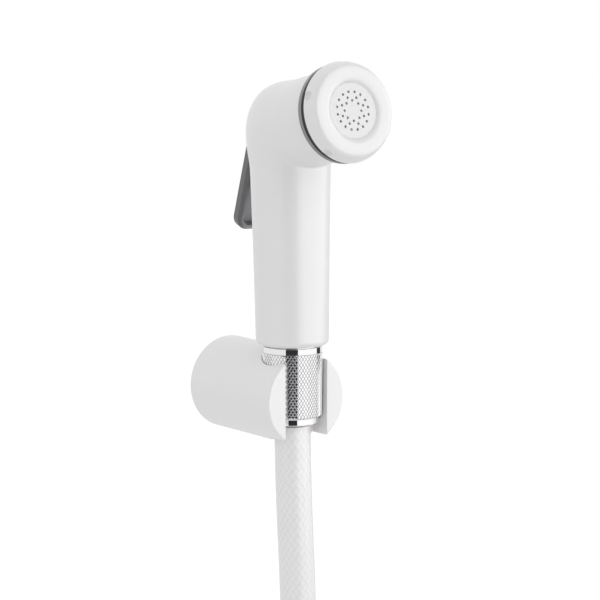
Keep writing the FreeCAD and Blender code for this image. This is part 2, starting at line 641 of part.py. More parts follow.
def flow_diffuser():
    disc = rod(on_head(SPIGOT_FRONT), -HEAD_FRONT, CHAMBER_R, DIFFUSER_THICKNESS)
    boss = rod(on_head(CAP_THREAD_DEPTH), -HEAD_FRONT, DIFFUSER_BOSS_R, SPIGOT_FRONT - CAP_THREAD_DEPTH)
    disc = disc.fuse(boss)
    for k in range(DIFFUSER_HOLE_COUNT):
        angle = 2 * math.pi * k / DIFFUSER_HOLE_COUNT
        start = on_head(SPIGOT_FRONT - 1, DIFFUSER_RING_R * math.cos(angle), DIFFUSER_RING_R * math.sin(angle))
        disc = disc.cut(rod(start, -HEAD_FRONT, DIFFUSER_HOLE_R, DIFFUSER_THICKNESS + 2))
    return handset(disc)


# Hose: one tube down to the coil, the coil's outer shape as one ring, and a tube to the far end
def cornered_path(points):
    """Straight runs joined by tangent arcs, and the smallest radius of those arcs."""
    edges = []
    radii = []
    start = points[0]
    for before, corner, after in zip(points, points[1:], points[2:]):
        back = (before - corner).normalize()
        on = (after - corner).normalize()
        half_turn = (math.pi - back.getAngle(on)) / 2
        cut = 0.45 * min((before - corner).Length, (after - corner).Length)
        radius = cut / math.tan(half_turn)
        first = corner + back * cut
        last = corner + on * cut
        inward = (back + on).normalize()
        middle = corner + inward * (radius / math.cos(half_turn) - radius)
        edges.append(Part.LineSegment(start, first).toShape())
        edges.append(Part.Arc(first, middle, last).toShape())
        radii.append(radius)
        start = last
    edges.append(Part.LineSegment(start, points[-1]).toShape())
    return Part.Wire(edges), min(radii)


def hose_along(points, name):
    path, tightest = cornered_path(points)
    heading = (points[1] - points[0]).normalize()
    outer = Part.Wire(Part.makeCircle(HOSE_R, points[0], heading))
    inner = Part.Wire(Part.makeCircle(HOSE_R - HOSE_WALL, points[0], heading))
    solid = path.makePipeShell([outer], True, False).cut(path.makePipeShell([inner], True, False))
    section = math.pi * (HOSE_R ** 2 - (HOSE_R - HOSE_WALL) ** 2)
    print(name, "length", round(path.Length, 1), "tightest radius", round(tightest, 1),
          "volume over section times length", round(solid.Volume / section / path.Length, 4))
    return solid, path.Length


def route_point(pair):
    return SOCKET + V(pair[0], 0, pair[1])


def coil_centre():
    angle = math.radians(JOIN_ANGLE)
    return route_point(HOSE_ROUTE[-1]) - V(math.cos(angle), 0, math.sin(angle)) * COIL_R


def coil_drop():
    """How far the coil has moved away from the wall when it ends."""
    return COIL_PITCH * (COIL_TURNS + JOIN_ANGLE / 360)


def coil_end():
    return coil_centre() + V(COIL_R, -coil_drop(), 0)


def hose_coil():
    centre = coil_centre()
    out = X * COIL_R
    up = X * HOSE_R
    far = Y * -coil_drop()
    rim = Y * HOSE_R
    section = [Part.makeLine(centre + out + up, centre + out + up + far),
               Part.Arc(centre + out + up + far, centre + out + far - rim, centre + out - up + far).toShape(),
               Part.makeLine(centre + out - up + far, centre + out - up),
               Part.Arc(centre + out - up, centre + out + rim, centre + out + up).toShape()]
    return Part.Face(Part.Wire(section)).revolve(centre, Y, 360)


def hose_upper():
    return hose_along([route_point(pair) for pair in HOSE_ROUTE], "upper hose")


def hose_lower():
    start = coil_end()
    return hose_along([start + V(*step) for step in HOSE_END_ROUTE], "lower hose")


# Tie: a strap wrapped square round the strands where the coil is thickest
def hose_tie():
    angle = math.radians(TIE_ANGLE)
    out = V(math.cos(angle), 0, math.sin(angle))
    along = V(-math.sin(angle), 0, math.cos(angle))
    middle = coil_centre() + out * COIL_R
    sag = COIL_R - math.sqrt(COIL_R ** 2 - (TIE_WIDTH / 2) ** 2)
    near = HOSE_R + RUN
    low = middle - out * (near + sag) + Y * near
    high = middle + out * near - Y * (coil_drop() + near)
    inner = strap_loop(low, high, out, along, HOSE_R)
    outer = strap_loop(low - out * TIE_THICKNESS + Y * TIE_THICKNESS,
                       high + out * TIE_THICKNESS - Y * TIE_THICKNESS, out, along, HOSE_R + TIE_THICKNESS)
    return outer.cut(inner)


def strap_loop(low, high, out, along, corner):
    """Block from one corner of the strap's section to the other, as wide as the strap."""
    width = (high - low).dot(out)
    depth = (low - high).dot(Y)
    start = low - along * (TIE_WIDTH / 2)
    loop = face_of((start, start + out * width, start + out * width - Y * depth, start - Y * depth))
    block = loop.extrude(along * TIE_WIDTH)
    round_edges = [edge for edge in block.Edges if abs(edge.Length - TIE_WIDTH) < 0.01]
    return block.makeFillet(min(corner, width / 2.2), round_edges)


def end_point():
    return coil_end() + V(*HOSE_END_ROUTE[-1])


def end_turned(profile):
    """Solid turned about the far end's axis. The profile lists (distance past the hose's end, radius)."""
    return turned(profile, end_point(), end_heading(), X.cross(end_heading()).normalize())


def end_heading():
    return (V(*HOSE_END_ROUTE[-1]) - V(*HOSE_END_ROUTE[-2])).normalize()


def end_ferrule():
    lip = FERRULE_LIP
    return end_turned(((-FERRULE_LENGTH, HOSE_R + RUN), (-FERRULE_LENGTH, FERRULE_R - 0.3),
                       (-FERRULE_LENGTH + 0.3, FERRULE_R), (lip - 0.3, FERRULE_R), (lip, FERRULE_R - 0.3),
                       (lip, HOSE_R + RUN)))


def end_tail():
    stem_r = HOSE_R - HOSE_WALL - RUN
    bore = stem_r - TAIL_WALL
    flange = END_COLLAR_LENGTH
    flange_end = flange + tail_flange()
    return end_turned(((1 - FERRULE_LENGTH, bore), (1 - FERRULE_LENGTH, stem_r), (0, stem_r), (0, HOSE_R),
                       (flange, HOSE_R), (flange, TAIL_FLANGE_R), (flange_end, TAIL_FLANGE_R),
                       (flange_end, bore)))


def end_nut():
    heading = end_heading()
    start = end_point() + heading * END_NUT_START
    across = X.cross(heading).normalize()
    nut = hexagon(start, heading, across, END_NUT_ACROSS, END_NUT_LENGTH)
    corner_r = END_NUT_ACROSS / math.sqrt(3)
    end = END_NUT_START + END_NUT_LENGTH
    rounded = end_turned(((END_NUT_START, 0), (END_NUT_START, END_NUT_ACROSS / 2 - 0.2),
                          (END_NUT_START + 1.0, corner_r), (end - 1.0, corner_r),
                          (end, END_NUT_ACROSS / 2 - 0.2), (end, 0)))
    seat_r = TAIL_FLANGE_R + LOOSE
    thread = end_thread_start()
    hole = end_turned(((0, 0), (0, HOSE_R + RUN), (END_NUT_SHOULDER, HOSE_R + RUN),
                       (END_NUT_SHOULDER, seat_r), (thread, seat_r), (thread, THREAD_R + RUN),
                       (end + 1, THREAD_R + RUN), (end + 1, 0)))
    return nut.common(rounded).cut(hole)


def end_thread_start():
    """How far past the hose's end the nut's thread begins, just clear of the washer."""
    return END_COLLAR_LENGTH + tail_flange() + WASHER_THICKNESS + LOOSE


def end_washer():
    face = END_COLLAR_LENGTH + tail_flange()
    return end_turned(((face, INLET_BORE_R), (face, WASHER_R), (face + WASHER_THICKNESS, WASHER_R),
                       (face + WASHER_THICKNESS, INLET_BORE_R)))


def main():
    upper, upper_length = hose_upper()
    lower, lower_length = hose_lower()
    turns = COIL_TURNS + JOIN_ANGLE / 360
    coil_length = turns * math.hypot(2 * math.pi * COIL_R, COIL_PITCH)
    print("hose length", round(upper_length + coil_length + lower_length, 1), "of", HOSE_LENGTH)

    nodes = {
        "wall_bracket": wall_bracket(), "holder_body": holder_body(), "grub_screw": grub_screw(),
        "handle_body": handle_body(), "inlet_insert": inlet_insert(), "inlet_washer": inlet_washer(),
        "trigger_lever": trigger_lever(), "lever_pin": lever_pin(),
        "gland_nut": gland_nut(), "stem_seal": stem_seal(), "valve_seat": valve_seat(),
        "valve_disc": valve_disc(), "valve_stem": valve_stem(), "valve_spring": valve_spring(),
        "trim_ring": trim_ring(), "cap_gasket": cap_gasket(), "spray_cap": spray_cap(),
        "spray_plate": spray_plate(), "flow_diffuser": flow_diffuser(),
        "conical_nut": conical_nut(), "hose_tail": hose_tail(),
        "hose_upper": upper, "hose_coil": hose_coil(), "hose_lower": lower, "hose_tie": hose_tie(),
        "end_ferrule": end_ferrule(), "end_tail": end_tail(), "end_nut": end_nut(),
        "end_washer": end_washer(),
    }
    os.makedirs("parts", exist_ok=True)
    for name, shape in nodes.items():
        solids = shape.Solids
        print(name, "solids", len(solids), "valid", shape.isValid(), "volume", round(shape.Volume, 1))
        shape.exportStep("parts/" + name + ".step")


main()
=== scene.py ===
"""Handheld bidet shower that rests by its conical nut in a round wall holder, photographed from the
front left and a little above. Lengths are metres, +Z is up, the wall is the plane y = 0 and the
holder reaches along -Y. The CAD pieces keep their shapes and get their finishes here. Made here are
the valve's spring, the woven hose, the nut's knurled grip and the thread in the union nut's open
end. Each of those is a grid of points worked out with numpy: one index runs round the piece, the
other along it.
"""
import math

import bpy
import numpy as np
from mathutils import Matrix, Vector


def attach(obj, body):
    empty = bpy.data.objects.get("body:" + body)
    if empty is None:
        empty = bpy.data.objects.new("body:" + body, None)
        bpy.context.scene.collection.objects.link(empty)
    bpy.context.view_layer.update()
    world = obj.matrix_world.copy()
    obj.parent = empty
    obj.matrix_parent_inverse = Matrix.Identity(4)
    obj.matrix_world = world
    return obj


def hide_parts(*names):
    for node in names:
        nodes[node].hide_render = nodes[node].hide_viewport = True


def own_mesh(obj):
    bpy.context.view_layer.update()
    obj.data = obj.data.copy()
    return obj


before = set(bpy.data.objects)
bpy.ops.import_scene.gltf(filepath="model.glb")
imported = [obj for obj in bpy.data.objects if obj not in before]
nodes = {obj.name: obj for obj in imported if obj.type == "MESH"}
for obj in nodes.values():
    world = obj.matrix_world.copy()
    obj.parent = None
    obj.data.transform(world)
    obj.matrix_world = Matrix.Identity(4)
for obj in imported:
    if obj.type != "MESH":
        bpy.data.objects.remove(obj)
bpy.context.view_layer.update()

# Camera: level with the spray head and looking a little down on the object from the front left,
# with a short telephoto lens. Its place and its three directions fit the circles in the photo.
CAMERA_PLACE = (-0.342870, -0.514223, 0.109860)
CAMERA_RIGHT = Vector((0.8041682, -0.5944018, 0.0))
CAMERA_UP = Vector((0.0721304, 0.0975855, 0.9926098))
CAMERA_BACK = Vector((-0.5900091, -0.7982253, 0.1213496))
camera_data = bpy.data.cameras.new("camera")
camera_data.sensor_width = 36.0
camera_data.lens = 88.55
camera = bpy.data.objects.new("camera", camera_data)
bpy.context.collection.objects.link(camera)
camera.matrix_world = Matrix.Translation(CAMERA_PLACE) @ Matrix(
    (CAMERA_RIGHT, CAMERA_UP, CAMERA_BACK)).transposed().to_4x4()
bpy.context.scene.camera = camera


# Wall bracket: a flange and boss moulded in glass-filled nylon, screwed to the wall and mostly
# hidden in the holder. The fibre gives it a dull light grey grain.
CLOUD_SIZE = 0.03


def linear(code):
    """Linear colour of an sRGB hex code: c / 12.92 when c is small, else ((c + 0.055) / 1.055) ** 2.4,
    with c from 0 to 1."""
    parts = [int(code[k:k + 2], 16) / 255 for k in (1, 3, 5)]
    light = [c / 12.92 if c <= 0.04045 else ((c + 0.055) / 1.055) ** 2.4 for c in parts]
    return (*light, 1.0)


def feed(material, node, **inputs):
    """Sets a node's inputs, or links them to a socket or to another node's first output. An input is
    named, with _ for a space, or numbered, as i0, i1."""
    for key, value in inputs.items():
        numbered = key[0] == "i" and key[1:].isdigit()
        socket = node.inputs[int(key[1:]) if numbered else key.replace("_", " ")]
        if isinstance(value, bpy.types.Node):
            value = value.outputs[0]
        if isinstance(value, bpy.types.NodeSocket):
            material.node_tree.links.new(value, socket)
        else:
            socket.default_value = value


def add_node(material, kind, settings=(), **inputs):
    """Adds a node, sets its own settings and feeds its inputs."""
    node = material.node_tree.nodes.new(kind)
    for key, value in dict(settings).items():
        setattr(node, key, value)
    feed(material, node, **inputs)
    return node


def shader_of(material):
    return material.node_tree.nodes["Principled BSDF"]


def surface(name, **settings):
    """Material with one Principled surface, whose plain inputs are set by name."""
    material = bpy.data.materials.new(name)
    material.use_nodes = True
    feed(material, shader_of(material), **settings)
    return material


def moulded(name, light, shade, roughness, grain, depth, **settings):
    """Moulded plastic. Broad clouds lead the colour from light to shade and the roughness a tenth
    either way, and a fine noise of the grain's size and depth stands for the mould's own surface."""
    material = surface(name, IOR=1.53, **settings)
    place = add_node(material, "ShaderNodeTexCoord").outputs["Object"]
    clouds = add_node(material, "ShaderNodeTexNoise", Vector=place, Scale=1 / CLOUD_SIZE, Detail=3.0)
    colour = add_node(material, "ShaderNodeMix", {"data_type": "RGBA"}, i0=clouds,
                      i6=linear(light), i7=linear(shade))
    rough = add_node(material, "ShaderNodeMapRange", Value=clouds, To_Min=roughness * 0.9,
                     To_Max=roughness * 1.1)
    fine = add_node(material, "ShaderNodeTexNoise", Vector=place, Scale=1 / grain, Detail=2.0)
    bump = add_node(material, "ShaderNodeBump", Strength=1.0, Distance=depth, Height=fine)
    feed(material, shader_of(material), Base_Color=colour.outputs[2], Roughness=rough, Normal=bump)
    return material


def finish_with(material, *names):
    """Gives CAD nodes a material in place of the plain one they arrive with."""
    for name in names:
        nodes[name].data.materials.clear()
        nodes[name].data.materials.append(material)


finish_with(moulded("glass_filled_nylon", "#D6D6D4", "#CBCBCA", 0.55, 0.0005, 0.00001), "wall_bracket")

# Holder: one hollow moulding in white ABS, pushed over the bracket's boss and held by a screw from
# below. Its satin grain breaks up the lamps' reflections. The screw's blackening is dull and dark.
finish_with(moulded("satin_white_abs", "#F8F7F7", "#F4F3F3", 0.34, 0.0006, 0.0000015), "holder_body")
finish_with(moulded("blackened_steel", "#1E1E20", "#2B2B2D", 0.45, 0.0004, 0.000004), "grub_screw")

# Handle: white ABS from a polished mould, one piece from its foot to the neck. It has the faint
# unevenness of thick mouldings, seen only where a lamp's edge is reflected in it.
finish_with(moulded("gloss_white_abs", "#F5F4F4", "#F2F1F1", 0.33, 0.004, 0.000003), "handle_body")


# Inside the handle: an inlet pressed into its foot, and the valve's gland, seat, stem, hinge pin and
# washers. They are turned, ground or moulded, and go in from the foot and the back.
BLOTCH_SIZE = 0.006


def metal(name, colour, roughness, spacing, depth, axis):
    """Metal with fine lines square to an axis, as a lathe or a polishing belt leaves them: a wave
    along that axis with the lines' spacing and depth, its lines made uneven by a little noise. Faint
    blotches lead the roughness a quarter either way."""
    material = surface(name, Base_Color=linear(colour), Metallic=1.0)
    place = add_node(material, "ShaderNodeTexCoord").outputs["Object"]
    lines = add_node(material, "ShaderNodeTexWave", {"wave_type": "BANDS", "bands_direction": axis},
                     Vector=place, Scale=math.pi / (10 * spacing), Distortion=1.5, Detail=2.0)
    blotches = add_node(material, "ShaderNodeTexNoise", Vector=place, Scale=1 / BLOTCH_SIZE, Detail=3.0)
    rough = add_node(material, "ShaderNodeMapRange", Value=blotches, From_Min=0.3, From_Max=0.7,
                     To_Min=roughness * 0.75, To_Max=roughness * 1.25)
    bump = add_node(material, "ShaderNodeBump", Strength=1.0, Distance=depth, Height=lines)
    feed(material, shader_of(material), Roughness=rough, Normal=bump)
    return material


# Plated brass is a bright line between handle and nut.
finish_with(metal("plated_brass", "#B9BABC", 0.16, 0.00012, 0.0000008, "Z"), "inlet_insert")
# Turned brass is warm yellow under the lever.
finish_with(metal("turned_brass", "#D9B66B", 0.2, 0.00012, 0.000001, "Y"), "gland_nut", "valve_seat")
# Turned and ground steel are cold grey with fine lines.
finish_with(metal("turned_steel", "#B9BABC", 0.2, 0.0001, 0.0000008, "Y"), "valve_stem")
finish_with(metal("ground_steel", "#BDBEC0", 0.2, 0.00008, 0.0000006, "X"), "lever_pin")
# Rubber is dull black, and shows as the dark line behind the cap.
finish_with(moulded("black_rubber", "#1B1B1C", "#242425", 0.6, 0.0003, 0.000004),
            "inlet_washer", "stem_seal", "valve_disc", "cap_gasket", "end_washer")


# Valve spring: four open turns of drawn steel wire between the bore's closed end and the stem's
# head, cold grey with fine lines. It is made here at its rest length, in place of the CAD spring.
ROOT = "holder_and_handset"
SOCKET_Y = -0.0453        # the socket, the conical nut and the handle share the axis x = 0, y = this
VALVE_HEIGHT = 0.084
BORE_REACH = 0.011        # from the handle's axis forward to the bore's closed end
VALVE_AXIS = np.array((0.047106, 0.99889, 0.0))
VALVE_ACROSS = np.array((0.99889, -0.047106, 0.0))
BORE_END = np.array((0.0, SOCKET_Y, VALVE_HEIGHT)) - BORE_REACH * VALVE_AXIS
SPRING_LENGTH, SPRING_RADIUS, SPRING_TURNS = 0.00785, 0.0026, 4
WIRE_RADIUS, WIRE_COLUMNS = 0.00035, 12
WIRE_POINTS, WIRE_STEP = 400, 0.00018


def even_line(line, step):
    """The same line with its points an even step apart, and how far along it each one is."""
    along = np.r_[0.0, np.cumsum(np.linalg.norm(np.diff(line, axis=0), axis=1))]
    count = round(along[-1] / step)
    wanted = np.linspace(0.0, along[-1], count + 1)
    return np.stack([np.interp(wanted, along, line[:, k]) for k in range(3)], axis=1), wanted


def carried_frames(line):
    """Two unit vectors square to the line at each point, carried along it without twist: each
    takes the one before and drops its part along the line's heading."""
    heading = np.gradient(line, axis=0)
    heading /= np.linalg.norm(heading, axis=1)[:, None]
    side = np.empty_like(line)
    side[0] = np.cross(heading[0], (0.0, 1.0, 0.0))
    side[0] /= np.linalg.norm(side[0])
    for k in range(1, len(line)):
        side[k] = side[k - 1] - heading[k] * np.dot(side[k - 1], heading[k])
        side[k] /= np.linalg.norm(side[k])
    return side, np.cross(heading, side)


def add_mesh(name, points, faces):
    mesh = bpy.data.meshes.new(name)
    mesh.from_pydata(points, [], faces)
    thing = bpy.data.objects.new(name, mesh)
    bpy.context.collection.objects.link(thing)
    return thing


def round_piece(name, points, uv, body):
    """Smooth piece from a grid of points, rows along it and columns round it, the last column joined
    to the first, with UVs in metres. At the join a full turn is added to the first column's u."""
    rows, columns = points.shape[:2]
    index = np.arange(rows * columns).reshape(rows, columns)
    right = np.roll(index, -1, axis=1)
    quads = np.stack([index[:-1], right[:-1], right[1:], index[1:]], axis=-1).reshape(-1, 4)
    piece = add_mesh(name, points.reshape(-1, 3).tolist(), quads.tolist())
    at_join = np.zeros((rows - 1, columns, 4), bool)
    at_join[:, -1, 1:3] = True
    corner_uv = uv.reshape(-1, 2)[quads.ravel()]
    corner_uv[:, 0] += np.where(at_join.ravel(), uv[0, -1, 0] + uv[0, 1, 0], 0.0)
    layer = piece.data.uv_layers.new(name="UVMap")
    layer.data.foreach_set("uv", corner_uv.astype(np.float32).ravel())
    piece.data.shade_smooth()
    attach(piece, body)
    return piece


def swept_tube(name, line, along, radius, columns, body):
    """Round tube along a line. Its radius is one number, or one for each point of the line."""
    side, other = carried_frames(line)
    angle = np.linspace(0.0, 2 * math.pi, columns + 1)[:-1]
    reach = np.broadcast_to(radius, len(line))[:, None, None]
    points = line[:, None] + reach * (np.cos(angle)[None, :, None] * side[:, None]
                                      + np.sin(angle)[None, :, None] * other[:, None])
    uv = np.stack(np.broadcast_arrays(angle[None] * np.max(radius), along[:, None]), axis=-1)
    return round_piece(name, points, uv, body)


turn = np.linspace(0.0, 2 * math.pi * SPRING_TURNS, WIRE_POINTS)[:, None]
rise = np.linspace(WIRE_RADIUS, SPRING_LENGTH - WIRE_RADIUS, WIRE_POINTS)[:, None]
wire_line, wire_along = even_line(
    BORE_END + rise * VALVE_AXIS + SPRING_RADIUS * np.cos(turn) * VALVE_ACROSS
    - SPRING_RADIUS * np.sin(turn) * np.array((0.0, 0.0, 1.0)), WIRE_STEP)
# The wire's ends are rounded off to a point too small to see.
from_end = np.clip(np.minimum(wire_along, wire_along[-1] - wire_along) / WIRE_RADIUS, 0.003, 1.0)
wire_reach = WIRE_RADIUS * np.sqrt(1 - (1 - from_end) ** 2)
spring = swept_tube("coil_spring", wire_line, wire_along, wire_reach, WIRE_COLUMNS, ROOT)
spring.data.materials.append(metal("drawn_steel_wire", "#B4B5B8", 0.22, 0.0001, 0.0000006, "Y"))
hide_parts("valve_spring")
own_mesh(spring)

# Lever: a hollow tongue moulded in dark grey ABS, on a pin through the handle. Its fine satin grain
# shows no finger marks, and its bevel still mirrors the dark side of the room.
finish_with(moulded("satin_dark_grey_abs", "#67676A", "#606062", 0.31, 0.0004, 0.000002),
            "trigger_lever")


# Spray head: a metal ring on the neck, a rubber ring, the cap screwed over them with its five grip
# notches, and a perforated disc behind the plate, which the cap holds by its edge. Places on the
# head are measured from the middle of its face.
PLATE_CENTRE = Vector((-0.00191, -0.085805, 0.11314))
HEAD_ACROSS = Vector((0.99889, -0.04711, 0.0))
HEAD_UP = Vector((0.00700, 0.14851, 0.98889))
HEAD_BACK = Vector((0.04658, 0.98779, -0.14867))
SEAM_END = 0.0064, 0.0067         # the ring's dark seam is full up to the first, gone at the second
NOTCHES, NOTCH_START = 5, 18      # the first one's place in degrees
NOTCH_BACK, NOTCH_REACH = 0.0027, 0.0194
# Reach of the painted shade that greys the cap in its notches:
NOTCH_SHADE_END = 0.0011, 0.0023         # from a notch's middle, full up to the first, gone at the second
GRAIN_END = 0.0082, 0.0088        # sandy up to the first, nearly smooth from the second
SAND_SIZE, SAND_DEPTH = 0.0004, 0.00006


def tint_where(material, value, inside, outside, colour):
    """Gives a surface another colour where a value is at its inside limit or past it, which fades to
    the surface's own colour at the outside limit."""
    shader = shader_of(material)
    base = shader.inputs["Base Color"]
    own = base.links[0].from_socket if base.is_linked else tuple(base.default_value)
    share = add_node(material, "ShaderNodeMapRange", {"interpolation_type": "SMOOTHSTEP"}, Value=value,
                     From_Min=outside, From_Max=inside)
    tinted = add_node(material, "ShaderNodeMix", {"data_type": "RGBA"}, i0=share, i6=own,
                      i7=linear(colour))
    feed(material, shader, Base_Color=tinted.outputs[2])


# Satin nickel is a soft mid grey band, nearly black along its front edge, where rubber is pressed
# against it.
ring_metal = metal("satin_nickel", "#909194", 0.4, 0.0001, 0.000001, "Y")
ring_place = add_node(ring_metal, "ShaderNodeTexCoord").outputs["Object"]
ring_arm = add_node(ring_metal, "ShaderNodeVectorMath", {"operation": "SUBTRACT"}, i0=ring_place,
                    i1=PLATE_CENTRE)
ring_depth = add_node(ring_metal, "ShaderNodeVectorMath", {"operation": "DOT_PRODUCT"}, i0=ring_arm,
                      i1=HEAD_BACK)
tint_where(ring_metal, ring_depth.outputs["Value"], *SEAM_END, "#2C2C2E")
finish_with(ring_metal, "trim_ring")
# The cap's gloss white is greyed in its notches by painted shade, darkest at each notch's middle.
cap_abs = moulded("gloss_white_cap_abs", "#F4F3F3", "#F1F0F0", 0.32, 0.004, 0.000002)
cap_place = add_node(cap_abs, "ShaderNodeTexCoord").outputs["Object"]
nearest = 1.0
for k in range(NOTCHES):
    angle = math.radians(NOTCH_START + 360 / NOTCHES * k)
    notch = (PLATE_CENTRE + NOTCH_BACK * HEAD_BACK
             + NOTCH_REACH * (math.cos(angle) * HEAD_ACROSS + math.sin(angle) * HEAD_UP))
    reach = add_node(cap_abs, "ShaderNodeVectorMath", {"operation": "DISTANCE"}, i0=cap_place, i1=notch)
    nearest = add_node(cap_abs, "ShaderNodeMath", {"operation": "MINIMUM"}, i0=reach.outputs["Value"],
                       i1=nearest)
# Painted shade in the notches.
tint_where(cap_abs, nearest, *NOTCH_SHADE_END, "#DAD8D7")
finish_with(cap_abs, "spray_cap")
# The disc is coloured dark grey as painted shade, which makes the plate's holes dark.
finish_with(moulded("dark_acetal_hole_shade", "#2E2F31", "#37383A", 0.5, 0.0004, 0.000004), "flow_diffuser")
# The plate is satin white, sandy like fine frost round its holes. Its edge keeps a tenth of that.
plate_abs = surface("sanded_white_abs", IOR=1.53, Roughness=0.36)
plate_place = add_node(plate_abs, "ShaderNodeTexCoord").outputs["Object"]
from_centre = add_node(plate_abs, "ShaderNodeVectorMath", {"operation": "DISTANCE"}, i0=plate_place,
                       i1=PLATE_CENTRE)
in_grain = add_node(plate_abs, "ShaderNodeMapRange", {"interpolation_type": "SMOOTHSTEP"},
                    Value=from_centre.outputs["Value"], From_Min=GRAIN_END[1], From_Max=GRAIN_END[0],
                    To_Min=0.1, To_Max=1.0)
sand = add_node(plate_abs, "ShaderNodeTexNoise", Vector=plate_place, Scale=1 / SAND_SIZE, Detail=2.0)
sand_height = add_node(plate_abs, "ShaderNodeMath", {"operation": "MULTIPLY"}, i0=sand, i1=in_grain)
sand_bump = add_node(plate_abs, "ShaderNodeBump", Strength=1.0, Distance=SAND_DEPTH,
                     Height=sand_height)
sand_shade = add_node(plate_abs, "ShaderNodeMix", {"data_type": "RGBA"}, i0=sand,
                      i6=linear("#E0E0E0"), i7=linear("#EFEFEF"))
feed(plate_abs, shader_of(plate_abs), Base_Color=sand_shade.outputs[2], Normal=sand_bump)
finish_with(plate_abs, "spray_plate")


# Hose: a plastic tube in a sheath braided from flat white yarn. It hangs straight down from the
# conical nut, turns aside, and the length that is put away is wound into a tied round coil, from
# which the last short piece hangs with its union nut.
HOSE_RADIUS = 0.0073
HOSE_STEP, HOSE_COLUMNS = 0.0015, 64
HOSE_ROUTE = ((0.0, 0.001), (0.0, -0.022), (0.001, -0.048), (0.0027, -0.080), (0.003, -0.108),
              (0.0115, -0.1336), (0.0276, -0.1553), (0.0497, -0.1708))
HOSE_END = ((0.0004, -0.0011, -0.034), (0.0019, -0.0015, -0.070))
COIL_RADIUS = 0.0732
COIL_JOIN = math.radians(55)      # where on the coil the route comes in
COIL_TURN = 2 * math.pi * 2 + COIL_JOIN
COIL_PITCH = 0.0149
COIL_STEPS = 14
STRANDS = 18              # that turn each way round the hose
YARNS = 5                 # side by side in each strand
BRAID_LENGTH = 0.0040     # along the hose from one crossing to the next on the same side
BRAID_DEPTH = 0.0002
NUT_FOOT_Z = -0.0101
# Painted shadow on the sheath below the nut's foot:
NUT_SHADOW_END = NUT_FOOT_Z - 0.0007, NUT_FOOT_Z - 0.0015      # full down to the first, gone at the second


def hose_control_points():
    """Control points of the hose: the route down, then the coil, whose points stand on a circle
    larger by 1 / cos(half a step) so that the smooth line keeps the coil's radius, then the end."""
    route = np.array([(x, SOCKET_Y, z) for x, z in HOSE_ROUTE])
    centre = route[-1] - COIL_RADIUS * np.array((math.cos(COIL_JOIN), 0.0, math.sin(COIL_JOIN)))
    count = round(COIL_TURN / (2 * math.pi) * COIL_STEPS)
    gone = np.linspace(0.0, COIL_TURN, count + 1)[1:-1]
    wide = COIL_RADIUS / math.cos(math.pi / COIL_STEPS)
    coil = np.stack([centre[0] + wide * np.cos(COIL_JOIN - gone),
                     centre[1] - COIL_PITCH * gone / (2 * math.pi),
                     centre[2] + wide * np.sin(COIL_JOIN - gone)], axis=1)
    last = centre + (COIL_RADIUS, -COIL_PITCH * COIL_TURN / (2 * math.pi), 0.0)
    return np.concatenate([route, coil, [last], last + np.array(HOSE_END)])


def smooth_line(points):
    """Points along the NURBS spline whose control points are given, read from a bare curve."""
    curve = bpy.data.curves.new("hose_line", "CURVE")
    curve.dimensions = "3D"
    curve.resolution_u = 12
    spline = curve.splines.new("NURBS")
    spline.points.add(len(points) - 1)
    spline.points.foreach_set("co", np.c_[points, np.ones(len(points))].ravel())
    spline.order_u = 3
    spline.use_endpoint_u = True
    holder = bpy.data.objects.new("hose_line", curve)
    bpy.context.collection.objects.link(holder)
    bpy.context.view_layer.update()
    mesh = bpy.data.meshes.new_from_object(holder)
    line = np.empty(len(mesh.vertices) * 3)
    mesh.vertices.foreach_get("co", line)
    bpy.data.objects.remove(holder)
    bpy.data.meshes.remove(mesh)
    bpy.data.curves.remove(curve)
    return line.reshape(-1, 3)


hose_line, hose_along = even_line(smooth_line(hose_control_points()), HOSE_STEP)
hose = swept_tube("woven_hose", hose_line, hose_along, HOSE_RADIUS, HOSE_COLUMNS, ROOT)
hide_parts("hose_upper", "hose_coil", "hose_lower")

# The braid has a soft silky sheen. Its strands go over and under each other, each a low cushion of
# parallel yarns, greyed towards its edges by painted shade. A painted shadow darkens the sheath
# where it enters the nut.
braided_yarn = surface("braided_polyester_yarn", Roughness=0.36, Coat_Weight=0.4, Coat_Roughness=0.32,
                       Sheen_Weight=0.35, Sheen_Roughness=0.4, Sheen_Tint=linear("#FFFFFF"))
hose_uv = add_node(braided_yarn, "ShaderNodeUVMap", {"uv_map": "UVMap"})
hose_place = add_node(braided_yarn, "ShaderNodeSeparateXYZ", Vector=hose_uv)
round_part = add_node(braided_yarn, "ShaderNodeMath", {"operation": "MULTIPLY"},
                      i0=hose_place.outputs["X"], i1=STRANDS / (2 * math.pi * HOSE_RADIUS))
long_part = add_node(braided_yarn, "ShaderNodeMath", {"operation": "DIVIDE"},
                     i0=hose_place.outputs["Y"], i1=BRAID_LENGTH)
cushions, tracks = [], []
for direction in ("ADD", "SUBTRACT"):
    track = add_node(braided_yarn, "ShaderNodeMath", {"operation": direction}, i0=round_part,
                     i1=long_part)
    across = add_node(braided_yarn, "ShaderNodeMath", {"operation": "FRACT"}, i0=track)
    centred = add_node(braided_yarn, "ShaderNodeMath", {"operation": "MULTIPLY_ADD"}, i0=across,
                       i1=2.0, i2=-1.0)
    squared = add_node(braided_yarn, "ShaderNodeMath", {"operation": "MULTIPLY"}, i0=centred,
                       i1=centred)
    cushion = add_node(braided_yarn, "ShaderNodeMath", {"operation": "SUBTRACT"}, i0=1.0, i1=squared)
    yarns = add_node(braided_yarn, "ShaderNodeMath", {"operation": "MULTIPLY"}, i0=across,
                     i1=2 * math.pi * YARNS)
    ripple = add_node(braided_yarn, "ShaderNodeMath", {"operation": "COSINE"}, i0=yarns)
    cushions.append(add_node(braided_yarn, "ShaderNodeMath", {"operation": "MULTIPLY_ADD"}, i0=ripple,
                             i1=-0.06, i2=cushion))
    tracks.append(add_node(braided_yarn, "ShaderNodeMath", {"operation": "FLOOR"}, i0=track))
crossing = add_node(braided_yarn, "ShaderNodeMath", {"operation": "ADD"}, i0=tracks[0], i1=tracks[1])
